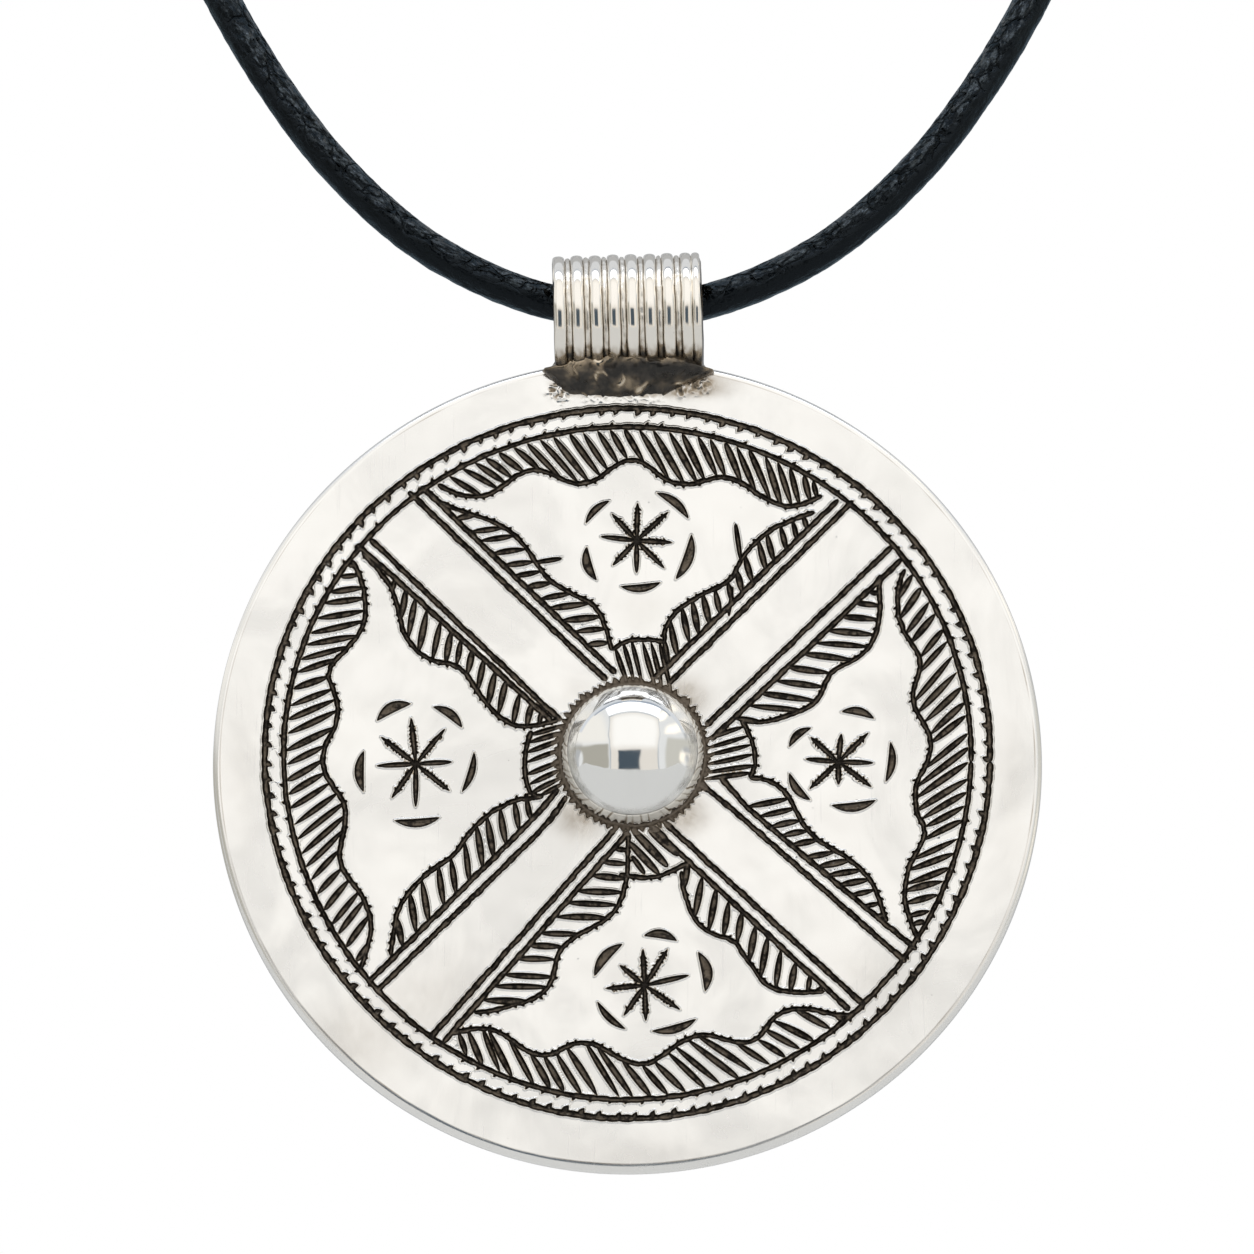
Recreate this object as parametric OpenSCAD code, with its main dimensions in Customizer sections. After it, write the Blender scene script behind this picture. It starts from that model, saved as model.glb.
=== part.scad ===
// Round engraved silver pendant on a black leather neck cord, in millimetres.
// The origin is the middle of the neck's opening at the height of the nape.
// +Z is up, the pendant's engraved face looks along -Y.
// It hangs as worn: the cord holds the bail, and the disc hangs straight under it.

/* [Disc] */
// Diameter of the disc
disc_d = 57; // [52:0.5:62]
// Thickness of the disc
disc_t = 1.8; // [1.5:0.1:2.2]
// Radius of the disc's rounded edges
edge_r = 0.5; // [0.2:0.05:0.6]
// Distance of the disc's centre below the bail's axis
disc_drop = 31.7; // [31:0.1:34]

/* [Boss] */
// Diameter of the polished boss at its foot
boss_d = 9.1; // [7:0.1:10]
// Height of the boss above the disc's face
boss_h = 3.8; // [2.6:0.1:4.2]
// Diameter of the bezel round the boss at its foot
bezel_d = 10.3; // [10:0.1:11]
// Height of the bezel
bezel_h = 1.2; // [0.8:0.1:1.4]
// Width of the bezel's lip round the boss
bezel_lip = 0.15; // [0.1:0.05:0.3]
// How far the boss sits to the right of the disc's centre
boss_right = 0.3; // [-1:0.1:1]
// How far the boss sits above the disc's centre
boss_up = 0.5; // [-1:0.1:1]

/* [Bail] */
// Length of the bail's tube along its bore
bail_l = 10.1; // [9.6:0.1:12]
// Outside diameter of the plain tube under the rings
tube_d = 7.4; // [7:0.1:7.8]
// Diameter of the bail's bore
bore_d = 5; // [4.4:0.1:5.4]
// Number of broad half-round rings round the tube
ring_count = 8; // [6:1:9]
// Width of a broad ring's wire
ring_wire = 0.96; // [0.8:0.02:1]
// Width of the narrow wire between two broad rings
thin_wire = 0.44; // [0.3:0.02:0.5]
// Length of the solder seam under the bail
solder_l = 11.4; // [10.2:0.1:13]
// Reach of the solder seam below the bail's axis
solder_drop = 5.5; // [5:0.1:6]

/* [Engraving] */
// Depth of the engraved lines
cut_depth = 0.3; // [0.1:0.05:0.5]
// Radius of the outer engraved ring
outer_ring_r = 25; // [24:0.1:25.4]
// Radius of the inner engraved ring
inner_ring_r = 23.5; // [23:0.1:23.8]
// Width of an engraved line
line_w = 0.5; // [0.3:0.05:0.6]
// Width of the plain band along each arm of the cross
arm_w = 3.9; // [3:0.1:5]
// Gap between the two lines on each side of an arm
arm_gap = 0.95; // [0.8:0.05:1.2]
// Distance of each star from the boss's centre
star_r = 15; // [14:0.1:16]
// Length of a star's ray
ray_l = 2.4; // [1.5:0.1:2.8]

/* [Cord] */
// Diameter of the leather cord
cord_d = 2.5; // [2:0.1:2.6]
// Number of flat sides of the cord's tube
cord_sides = 8; // [8:1:10]

/* [Clasp] */
// Length of the barrel clasp at the nape
clasp_l = 14; // [12:0.5:18]
// Diameter of the barrel clasp
clasp_d = 5; // [4.5:0.1:6]
// Room round a cord's end in its socket
socket_gap = 0.2; // [0.1:0.05:0.3]

/* [Hidden] */

round_fn = 96;
overlap = 0.2;
disc_r = disc_d / 2;
face = disc_t / 2;

// The bail's axis, from the origin
hang_y = -59;
hang_z = -101;

// The boss is a cap of a sphere on the bezel: its radius, volume and the height of its centre of mass
cap_h = boss_h - bezel_h;
boss_r = (boss_d * boss_d / 4 + cap_h * cap_h) / (2 * cap_h);
cap_vol = PI * cap_h * cap_h * (3 * boss_r - cap_h) / 3;
cap_mid = face + bezel_h + cap_h * (4 * boss_r - cap_h) / (4 * (3 * boss_r - cap_h));
bezel_vol = PI * bezel_h * (bezel_d * bezel_d + bezel_d * boss_d + boss_d * boss_d) / 12;
disc_vol = PI * disc_r * disc_r * disc_t;
// The set-back that brings the centre of mass under the bail's axis, to the nearest 0.02 mm
disc_back = round(50 * (cap_vol * cap_mid + bezel_vol * (face + bezel_h / 2))
    / (disc_vol + cap_vol + bezel_vol)) / 50;

ring_pitch = (bail_l - ring_wire) / (ring_count - 1);

// One side of the cord's route, from the bail round to the clasp at the nape.
// Columns: to the side, behind the bail's axis, above the bail's axis.
SIDE_ROUTE = [
    [5, 0, 1], [10, 0, 2.8], [15, 0, 5.8], [20, 0.5, 10.6], [24, 1.5, 16], [28, 3, 23],
    [33, 6, 34], [38, 11, 46], [43, 18, 58], [48, 27, 69], [52, 38, 78.5], [54.5, 50, 86.5],
    [56, 62, 93], [55, 75, 97.3], [51.5, 87, 99.8], [45.5, 98, 100.8], [37, 107, 101],
    [26, 114, 101], [14, 117.6, 101], [8, 118, 101], [2.3, 118, 101]
];
LOW_POINT = [0, 0, 0.3];
last = len(SIDE_ROUTE) - 1;
ROUTE = concat(
    [for (i = [last : -1 : 0]) [-SIDE_ROUTE[i][0], SIDE_ROUTE[i][1], SIDE_ROUTE[i][2]]],
    [LOW_POINT],
    SIDE_ROUTE
);
// A direction that the cord never runs along, square to the loop's slope
LOOP_NORMAL = [0, -0.65, 0.76];

// Engraved motifs. Columns: direction from the boss, turn of the first crescent.
PANELS = [[90, 45], [0, 20], [270, 30], [180, 60]];
crescent_count = 5;
crescent_r = 3.5;
crescent_size = 1.3;
hatch_count = 22;
hatch_l = 2.4;
hatch_w = 0.42;
hatch_lean = 20;
side_hatch_count = 10;
side_hatch_l = 1.9;

function unit(v) = v / norm(v);

// A point on the smooth curve through four points, t from 0 to 1 between the middle two
function smooth_at(a, b, c, d, t) =
    0.5 * (2 * b + (c - a) * t + (2 * a - 5 * b + 4 * c - d) * t * t
        + (3 * b - a - 3 * c + d) * t * t * t);

// The route with extra points, one about every two diameters
function smooth_path(p, step) =
    let (n = len(p) - 1)
    concat([for (i = [0 : n - 1])
        let (
            parts = max(1, round(norm(p[i + 1] - p[i]) / step)),
            before = i == 0 ? 2 * p[0] - p[1] : p[i - 1],
            after = i == n - 1 ? 2 * p[n] - p[n - 1] : p[i + 2]
        )
        for (k = [0 : parts - 1]) smooth_at(before, p[i], p[i + 1], after, k / parts)
    ], [p[n]]);

// A tube swept along a path, as one closed polyhedron
module swept_tube(path, radius, sides) {
    n = len(path);
    rings = [for (i = [0 : n - 1])
        let (
            along = unit(path[min(i + 1, n - 1)] - path[max(i - 1, 0)]),
            across = unit(cross(along, LOOP_NORMAL)),
            up = cross(across, along)
        )
        for (k = [0 : sides - 1])
            path[i] + radius * (cos(360 * k / sides) * across + sin(360 * k / sides) * up)
    ];
    walls = [for (i = [0 : n - 2], k = [0 : sides - 1])
        let (k2 = (k + 1) % sides)
        [i * sides + k, i * sides + k2, (i + 1) * sides + k2, (i + 1) * sides + k]
    ];
    caps = [
        [for (k = [sides - 1 : -1 : 0]) k],
        [for (k = [0 : sides - 1]) (n - 1) * sides + k]
    ];
    polyhedron(rings, concat(walls, caps), convexity = 6);
}

// Drawings on the disc's face: X to the right, Y up, Z out of the face.
// The origin is the disc's centre, in the middle of its thickness.
module on_disc() {
    translate([0, disc_back, -disc_drop]) rotate([90, 0, 0]) children();
}

module at_boss() {
    translate([boss_right, boss_up, 0]) children();
}

module disc_blank() {
    rotate_extrude($fn = round_fn) {
        translate([0, -face]) square([disc_r - edge_r, disc_t]);
        translate([0, edge_r - face]) square([disc_r, disc_t - 2 * edge_r]);
        for (side = [-1, 1]) translate([disc_r - edge_r, side * (face - edge_r)]) circle(edge_r, $fn = 48);
    }
}

module boss() {
    intersection() {
        translate([0, 0, face + boss_h - boss_r]) sphere(boss_r, $fn = round_fn);
        cylinder(r = boss_d, h = face + boss_h + overlap);
    }
    translate([0, 0, face - overlap])
        cylinder(d1 = bezel_d + overlap, d2 = boss_d + 2 * bezel_lip, h = bezel_h + overlap, $fn = round_fn);
}

// A long slender cut, pointed at both ends
module spindle(length, width) {
    polygon([
        [-length / 2, 0], [-length / 4, -width / 2], [length / 4, -width / 2],
        [length / 2, 0], [length / 4, width / 2], [-length / 4, width / 2]
    ]);
}

module ring_line(radius) {
    difference() {
        circle(radius + line_w / 2, $fn = round_fn);
        circle(radius - line_w / 2, $fn = round_fn);
    }
}

module star() {
    for (turn = [0 : 45 : 135]) rotate(turn) spindle(2 * ray_l, line_w);
}

module crescent() {
    intersection() {
        circle(crescent_size, $fn = 32);
        translate([-crescent_size * 1.5, 0]) circle(crescent_size * 2.1, $fn = 32);
        translate([crescent_size * 0.9, 0]) square(2 * crescent_size, center = true);
    }
}

// The two lines along one side of an arm, drawn along +X
module arm_lines() {
    start = bezel_d / 2 + line_w;
    for (side = [-1, 1], row = [0, 1])
        translate([start, side * (arm_w / 2 + row * arm_gap) - line_w / 2])
            square([inner_ring_r - start, line_w]);
}

// The hatching along a panel's outer edge and beside its two arms, about +X
module panel_hatching() {
    for (i = [0 : hatch_count - 1])
        rotate(68 * (i / (hatch_count - 1) - 0.5))
            translate([inner_ring_r - hatch_l / 2 - line_w, 0]) rotate(hatch_lean) spindle(hatch_l, hatch_w);
    for (side = [-1, 1], i = [0 : side_hatch_count - 1])
        rotate(side * 45)
            translate([8.5 + i * 1.15, -side * (arm_w / 2 + arm_gap + side_hatch_l / 2)])
                rotate(side * 50) spindle(side_hatch_l, hatch_w);
}

module engraving() {
    ring_line(outer_ring_r);
    ring_line(inner_ring_r);
    at_boss() ring_line(bezel_d / 2 + line_w);
    for (turn = [45 : 90 : 315]) rotate(turn) arm_lines();
    for (panel = PANELS) rotate(panel[0]) {
        translate([star_r, 0]) {
            star();
            for (i = [0 : crescent_count - 1])
                rotate(panel[1] + i * 360 / crescent_count) translate([crescent_r - 1, 0]) crescent();
        }
        panel_hatching();
    }
}

module ring_wire_loop(x, wire) {
    translate([x, 0, 0]) rotate([0, 90, 0])
        rotate_extrude($fn = round_fn) translate([tube_d / 2, 0]) circle(d = wire, $fn = 32);
}

// The tube lies along X, with its rings and the solder seam that joins it to the disc
module bail() {
    translate([-bail_l / 2, 0, 0]) rotate([0, 90, 0]) cylinder(d = tube_d, h = bail_l, $fn = round_fn);
    first = -(ring_count - 1) * ring_pitch / 2;
    for (i = [0 : ring_count - 1]) ring_wire_loop(first + i * ring_pitch, ring_wire);
    for (i = [0 : ring_count - 2]) ring_wire_loop(first + (i + 0.5) * ring_pitch, thin_wire);
    solder_seam();
}

module solder_seam() {
    top = tube_d / 2 - 0.9;
    translate([-solder_l / 2, disc_back, 0]) rotate([90, 0, 90]) linear_extrude(solder_l)
        polygon([
            [-2.3, -top], [2.3, -top],
            [face + 0.3, -solder_drop], [-face - 0.3, -solder_drop]
        ]);
    for (side = [-1, 1])
        translate([0, disc_back + face, 0]) rotate([90, 0, 0]) linear_extrude(disc_t)
            polygon([
                [side * (solder_l / 2 - 1), -3], [side * solder_l / 2, -3.2],
                [side * (solder_l / 2 + 2.4), -solder_drop], [side * (solder_l / 2 - 1), -solder_drop]
            ]);
}

// Disc, boss, bezel and bail are soldered into one piece of silver
module pendant() {
    color("silver") translate([0, hang_y, hang_z]) difference() {
        union() {
            on_disc() disc_blank();
            on_disc() at_boss() boss();
            bail();
        }
        translate([-bail_l, 0, 0]) rotate([0, 90, 0]) cylinder(d = bore_d, h = 2 * bail_l, $fn = round_fn);
        on_disc() translate([0, 0, face - cut_depth]) linear_extrude(cut_depth + overlap) engraving();
    }
}

// One round leather cord, from its end in the clasp, through the bail and back
module neck_cord() {
    color("#1c1a1a") translate([0, hang_y, hang_z])
        swept_tube(smooth_path(ROUTE, 2.3 * cord_d), cord_d / 2, cord_sides);
}

// A plain barrel with a blind socket in each end for the cord
module clasp() {
    nape = SIDE_ROUTE[last];
    socket_end = nape[0] - 0.3;
    color("gainsboro") translate([0, hang_y + nape[1], hang_z + nape[2]]) rotate([0, 90, 0])
        difference() {
            cylinder(d = clasp_d, h = clasp_l, center = true, $fn = round_fn);
            for (side = [-1, 1])
                translate([0, 0, side * (socket_end + clasp_l / 2)])
                    cylinder(d = cord_d + 2 * socket_gap, h = clasp_l, center = true, $fn = round_fn);
        }
}

pendant();
neck_cord();
clasp();
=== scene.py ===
import math
import random

import bmesh
import bpy
import numpy as np
from mathutils import Matrix, Vector
from mathutils.noise import noise


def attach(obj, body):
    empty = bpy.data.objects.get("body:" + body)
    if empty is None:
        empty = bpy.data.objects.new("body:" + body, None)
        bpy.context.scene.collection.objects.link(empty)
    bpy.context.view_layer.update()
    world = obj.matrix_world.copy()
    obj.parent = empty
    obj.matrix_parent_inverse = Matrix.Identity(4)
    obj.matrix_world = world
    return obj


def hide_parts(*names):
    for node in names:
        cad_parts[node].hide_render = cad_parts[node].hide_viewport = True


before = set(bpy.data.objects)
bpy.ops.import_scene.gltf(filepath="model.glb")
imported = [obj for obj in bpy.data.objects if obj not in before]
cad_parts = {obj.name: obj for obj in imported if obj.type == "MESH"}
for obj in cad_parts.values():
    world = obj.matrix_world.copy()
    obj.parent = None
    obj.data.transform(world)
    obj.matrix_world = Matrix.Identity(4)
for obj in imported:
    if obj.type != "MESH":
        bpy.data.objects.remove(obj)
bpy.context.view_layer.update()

# The stand-in studio: a long lens a little below the pendant, looking up at it, a pale floor under
# it and the soft white walls of a photo tent, with a paler window in front and a dark lens in that.
MM = 0.001
HANG_Y = -59.0
HANG_Z = -101.0
LOOK_UP = math.radians(12.5)
LENS_DISTANCE = 0.75
FRAME_WIDTH = 86.5
VIEW_DROP = 21.5
VIEW_SIDE = -0.03
FLOOR_REACH = 1.5
FLOOR_AT = (0, 1.06, -0.34)
FLOOR_COLOUR = (0.765, 0.763, 0.75, 1)

look = Vector((0, math.cos(LOOK_UP), math.sin(LOOK_UP)))
target = Vector((VIEW_SIDE, HANG_Y, HANG_Z - VIEW_DROP / math.cos(LOOK_UP))) * MM
lens = bpy.data.cameras.new("lens")
lens.lens = lens.sensor_width * LENS_DISTANCE / (FRAME_WIDTH * MM)
lens.clip_start = 0.01
camera = bpy.data.objects.new("camera", lens)
camera.location = target - look * LENS_DISTANCE
camera.rotation_euler = look.to_track_quat("-Z", "Y").to_euler()
bpy.context.scene.collection.objects.link(camera)
bpy.context.scene.camera = camera
bpy.context.scene.view_settings.view_transform = "Standard"

floor_bm = bmesh.new()
bmesh.ops.create_grid(floor_bm, x_segments=2, y_segments=2, size=FLOOR_REACH)
bmesh.ops.translate(floor_bm, verts=floor_bm.verts, vec=FLOOR_AT)


def make_piece(name, bm, material):
    mesh = bpy.data.meshes.new(name)
    for face in bm.faces:
        face.smooth = True
    bm.to_mesh(mesh)
    bm.free()
    mesh.materials.append(material)
    piece = bpy.data.objects.new(name, mesh)
    bpy.context.scene.collection.objects.link(piece)
    return piece


def new_material(name):
    material = bpy.data.materials.new(name)
    material.use_nodes = True
    return material, material.node_tree.nodes["Principled BSDF"].inputs


pale, paper = new_material("pale_paper")
paper["Base Color"].default_value = FLOOR_COLOUR
paper["Roughness"].default_value = 0.9
floor = make_piece("floor", floor_bm, pale)

tent = bpy.data.worlds.new("tent")
tent.use_nodes = True
bpy.context.scene.world = tent
tree = tent.node_tree
tree.nodes.clear()


# Sets a socket to a value, or links it to another node's output
def feed(socket, value):
    if isinstance(value, bpy.types.NodeSocket):
        socket.id_data.links.new(value, socket)
    elif value is not None:
        socket.default_value = value


def math_node(kind, first, second=None):
    tree = (first if isinstance(first, bpy.types.NodeSocket) else second).id_data
    node = tree.nodes.new("ShaderNodeMath")
    node.operation = kind
    feed(node.inputs[0], first)
    feed(node.inputs[1], second)
    return node.outputs[0]


def times(first, second):
    return math_node("MULTIPLY", first, second)


def plus(first, second):
    return math_node("ADD", first, second)


def minus(first, second):
    return math_node("SUBTRACT", first, second)


def soft_step(value, low, high):
    step = value.id_data.nodes.new("ShaderNodeMapRange")
    step.interpolation_type = "SMOOTHSTEP"
    for label, setting in (("Value", value), ("From Min", low), ("From Max", high)):
        feed(step.inputs[label], setting)
    return step.outputs["Result"]


def blend_colour(mask, below, above):
    mix = mask.id_data.nodes.new("ShaderNodeMix")
    mix.data_type = "RGBA"
    for label, value in (("Factor", mask), ("A", below), ("B", above)):
        feed(mix.inputs[label], (*value, 1) if isinstance(value, tuple) else value)
    return mix.outputs["Result"]


where = tree.nodes.new("ShaderNodeTexCoord")
split = tree.nodes.new("ShaderNodeSeparateXYZ")
feed(split.inputs[0], where.outputs["Generated"])
rise = math_node("ARCTAN2", split.outputs["Z"], times(split.outputs["Y"], -1.0))
height = math_node("ARCSINE", split.outputs["Z"])
sideways = math_node("ARCSINE", split.outputs["X"])
narrowing = times(soft_step(rise, 0.5, 1.15), 0.22)
aside = times(sideways, plus(narrowing, 1.0))


def soft_band(value, start, end, soft):
    start, end, soft = (math.radians(v) for v in (start, end, soft))
    return times(soft_step(value, start - soft, start + soft), soft_step(value, end + soft, end - soft))


# Panels of the tent, in degrees: left and right of the lens, from and to above the level, softness.
# What hangs in front of the pendant is placed by its rise, what stands beside it by its height
TENT = [
    (aside, rise, (-89, 89), (-92, 92), 6, (0.80, 0.81, 0.81)),
    (sideways, height, (-75, 75), (-50, -34), 7, (0.57, 0.56, 0.52)),
    (sideways, height, (-86, -36), (16, 56), 6, (0.92, 0.90, 0.85)),
    (sideways, height, (-80, -37), (-22, 13), 2.5, (0.43, 0.415, 0.365)),
    (sideways, height, (50, 78), (-19, 21), 3, (0.60, 0.59, 0.54)),
    (sideways, height, (44, 60), (27, 39), 3.5, (1.3, 1.22, 1.08)),
    (sideways, height, (29, 38), (47, 57), 3, (1.5, 1.4, 1.2)),
    (sideways, height, (76, 85), (-5, 6), 3, (1.2, 1.12, 0.97)),
    (aside, rise, (-35.5, 39), (-36, 64), 1, (0.42, 0.46, 0.50)),
    (aside, rise, (-34, 37.5), (-34, 62), 1.2, (0.80, 0.76, 0.70)),
    (aside, rise, (-31, 36), (7, 60), 8, (1.05, 1.035, 1.0)),
    (aside, rise, (-34, 35), (66, 84), 2, (1.9, 1.97, 2.07)),
    (aside, rise, (-75, 75), (88, 115), 2, (0.70, 0.73, 0.77)),
    (aside, rise, (-50, 50), (85, 88.5), 1, (0.33, 0.38, 0.46)),
    (aside, rise, (-22, 12.5), (-28.5, 3), 1.9, (0.07, 0.095, 0.12)),
]
ROOM = (0.47, 0.48, 0.49)
light = ROOM
for across_by, up_by, sides, heights, soft, colour in TENT:
    panel = times(soft_band(across_by, *sides, soft), soft_band(up_by, *heights, soft))
    light = blend_colour(panel, light, colour)
path = tree.nodes.new("ShaderNodeLightPath")
seen = blend_colour(path.outputs["Is Camera Ray"], light, (1.0, 1.0, 1.0))
shine = tree.nodes.new("ShaderNodeBackground")
feed(shine.inputs["Color"], seen)
world_out = tree.nodes.new("ShaderNodeOutputWorld")
feed(world_out.inputs["Surface"], shine.outputs[0])

# The neck cord is one round black leather cord, dyed and waxed, with a fine scaly crackle where it
# bends. It runs from the clasp at the nape through the bail and back, and holds its worn curve.
CORD_R = 1.25
SIDE_ROUTE = [
    (5, 0, 1), (10, 0, 2.8), (15, 0, 5.8), (20, 0.5, 10.6), (24, 1.5, 16), (28, 3, 23),
    (33, 6, 34), (38, 11, 46), (43, 18, 58), (48, 27, 69), (52, 38, 78.5), (54.5, 50, 86.5),
    (56, 62, 93), (55, 75, 97.3), (51.5, 87, 99.8), (45.5, 98, 100.8), (37, 107, 101),
    (26, 114, 101), (14, 117.6, 101), (8, 118, 101), (2.3, 118, 101),
]
LOW_POINT = (0, 0, 0.3)
LOOP_NORMAL = Vector((0, -0.65, 0.76))
ROUTE_STEP = 0.3
CORD_DYE = (0.0016, 0.0021, 0.0030)
CORD_WORN_AND_SHEEN = (0.006, 0.0068, 0.008)
CORD_CRACK_SHADE = (0.0006, 0.0006, 0.0007)
CORD_SHEEN = (0.70, 0.86, 1.0, 1)


def smooth_points(points, step):
    ends = [2 * points[0] - points[1], *points, 2 * points[-1] - points[-2]]
    smooth = []
    for a, b, c, d in zip(ends, ends[1:], ends[2:], ends[3:]):
        parts = max(1, round((c - b).length / step))
        for k in range(parts):
            t = k / parts
            smooth.append(0.5 * (2 * b + (c - a) * t + (2 * a - 5 * b + 4 * c - d) * t ** 2
                                 + (3 * b - a - 3 * c + d) * t ** 3))
    return [*smooth, points[-1]]


right_side = [Vector(p) for p in SIDE_ROUTE]
left_side = [Vector((-p[0], p[1], p[2])) for p in reversed(SIDE_ROUTE)]
route = smooth_points([*left_side, Vector(LOW_POINT), *right_side], ROUTE_STEP)

cord_bm = bmesh.new()
straight_layer = cord_bm.verts.layers.float_vector.new("straight")
ring = bmesh.ops.create_circle(cord_bm, segments=24, radius=1.0, cap_ends=True)["verts"]
flat_ring = [v.co.copy() for v in ring]


def lay_ring(verts, i):
    heading = (route[min(i + 1, len(route) - 1)] - route[max(i - 1, 0)]).normalized()
    across = heading.cross(LOOP_NORMAL).normalized()
    up = across.cross(heading)
    for vert, flat in zip(verts, flat_ring):
        spot = route[i] + CORD_R * (flat.x * across + flat.y * up)
        dent = noise(spot * 0.9) * 0.025 + noise(spot * 2.6) * 0.02 - 0.02
        vert.co = spot + (spot - route[i]) * dent
        vert[straight_layer] = Vector((i * ROUTE_STEP, CORD_R * flat.x, CORD_R * flat.y))


lay_ring(ring, 0)
edges = list(cord_bm.edges)
for i in range(1, len(route)):
    grown = bmesh.ops.extrude_edge_only(cord_bm, edges=edges)["geom"]
    verts = [g for g in grown if isinstance(g, bmesh.types.BMVert)]
    edges = [g for g in grown if isinstance(g, bmesh.types.BMEdge)]
    old = {e.other_vert(v): v for v in verts for e in v.link_edges if e not in edges}
    verts = [old[v] for v in ring]
    lay_ring(verts, i)
    ring = verts
bmesh.ops.edgeloop_fill(cord_bm, edges=edges)
bmesh.ops.recalc_face_normals(cord_bm, faces=cord_bm.faces)
at_bail = Matrix.Translation(Vector((0, HANG_Y, HANG_Z)) * MM)
cord_bm.transform(at_bail @ Matrix.Scale(MM, 4))

leather, skin = new_material("black_leather")
tree = leather.node_tree
place = tree.nodes.new("ShaderNodeTexCoord").outputs["Object"]


def texture(kind, vector, scale, **settings):
    node = vector.id_data.nodes.new(kind)
    for key, value in settings.items():
        if key in node.inputs:
            node.inputs[key].default_value = value
        else:
            setattr(node, key, value)
    feed(node.inputs["Scale"], scale)
    feed(node.inputs["Vector"], vector)
    return node


def cloudy(vector, scale, **settings):
    return texture("ShaderNodeTexNoise", vector, scale, **settings).outputs["Fac"]


def cracks(vector, scale):
    cells = texture("ShaderNodeTexVoronoi", vector, scale, feature="DISTANCE_TO_EDGE")
    return soft_step(cells.outputs["Distance"], 0.0, 0.05)


def attribute(tree, name, output="Fac"):
    node = tree.nodes.new("ShaderNodeAttribute")
    node.attribute_name = name
    return node.outputs[output]


def bump(height, strength, distance, under=None):
    node = height.id_data.nodes.new("ShaderNodeBump")
    wanted = {"Strength": strength, "Distance": distance, "Height": height, "Normal": under}
    for label, value in wanted.items():
        feed(node.inputs[label], value)
    return node.outputs["Normal"]


def stretched(vector, turn, size):
    mapping = vector.id_data.nodes.new("ShaderNodeMapping")
    for label, value in (("Rotation", turn), ("Scale", size), ("Vector", vector)):
        feed(mapping.inputs[label], value)
    return mapping.outputs[0]


# The attribute "straight" is each point's place on the cord laid out straight, in millimetres
laid_out = attribute(tree, "straight", "Vector")
warp = texture("ShaderNodeTexNoise", laid_out, 0.9, Detail=2.0)
bent = tree.nodes.new("ShaderNodeVectorMath")
bent.operation = "MULTIPLY_ADD"
bent.inputs[1].default_value = (1.1, 0.8, 0.8)
feed(bent.inputs[0], warp.outputs["Color"])
feed(bent.inputs[2], laid_out)
slanted = stretched(bent.outputs[0], (0, 0.5, 0.35), (0.36, 0.58, 0.58))
plates = texture("ShaderNodeTexVoronoi", slanted, 1.0)
parts = tree.nodes.new("ShaderNodeSeparateXYZ")
feed(parts.inputs[0], laid_out)
upper = soft_step(parts.outputs["Z"], 0.5, 1.0)
low_side = minus(1.0, upper)
crackle = math_node("MAXIMUM", cracks(slanted, 1.0), low_side)
grain = cloudy(place, 5200, Detail=4.0)
lumps = cloudy(stretched(laid_out, (0, 0, 0.3), (0.6, 1, 1)), 1.5, Detail=2.0, Roughness=0.5)
wrinkle = times(lumps, plus(times(upper, 0.8), 0.2))

# Wrinkles, domed scales, the cracks between them, fine cracks and grain, each on the one before
relief = bump(wrinkle, 1.0, 0.0011)
relief = bump(times(plates.outputs["Distance"], upper), 1.0, -0.0007, relief)
relief = bump(crackle, 1.0, 0.0003, relief)
relief = bump(cracks(bent.outputs[0], 1.3), 0.35, 0.00005, relief)
feed(skin["Normal"], bump(grain, 0.25, 0.00002, relief))
# Lighter grain on the upper side only: partly worn skin, partly a painted highlight where the light falls
worn = times(soft_step(grain, 0.5, 0.7), upper)
dye = blend_colour(worn, CORD_DYE, CORD_WORN_AND_SHEEN)
# Near black in the cracks between the scales: painted shade in the creases
feed(skin["Base Color"], blend_colour(crackle, CORD_CRACK_SHADE, dye))
wax = plus(times(low_side, 0.18), 0.11)
wax = plus(wax, times(soft_step(grain, 0.4, 0.7), 0.08))
feed(skin["Roughness"], wax)

# The near-black skin gives back little light, except in rubbed patches between the cracks on a band
# along its upper side, placed where the highlight falls: partly rubbed wear, partly a painted sheen
along_cord = stretched(laid_out, (0, 0, 0.35), (0.9, 2.2, 2.2))
rubbed_and_sheen = cloudy(along_cord, 1.3, Detail=4.0, Roughness=0.65)
rubbed_and_sheen = times(soft_step(rubbed_and_sheen, 0.46, 0.6), soft_step(parts.outputs["Z"], 0.85, 1.08))
dull_except_sheen = minus(0.8, times(times(rubbed_and_sheen, crackle), 0.8))
feed(skin["Metallic"], dull_except_sheen)
skin["Specular IOR Level"].default_value = 1.0
skin["Specular Tint"].default_value = CORD_SHEEN

neck_cord = make_piece("neck_cord_leather", cord_bm, leather)
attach(neck_cord, "cord")
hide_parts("neck_cord")

# The silver is worked cold and finished by hand: polished faces with soft streaks, fine scratches
# and pits, and blackening that was left in every cut and joint when the rest was wiped bright.
def new_group(name, inputs, outputs):
    group = bpy.data.node_groups.new(name, "ShaderNodeTree")
    for label, kind, value in inputs:
        socket = group.interface.new_socket(name=label, in_out="INPUT", socket_type=kind)
        if value is not None:
            socket.default_value = value
    for label, kind in outputs:
        group.interface.new_socket(name=label, in_out="OUTPUT", socket_type=kind)
    return group, group.nodes.new("NodeGroupInput"), group.nodes.new("NodeGroupOutput")


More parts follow.
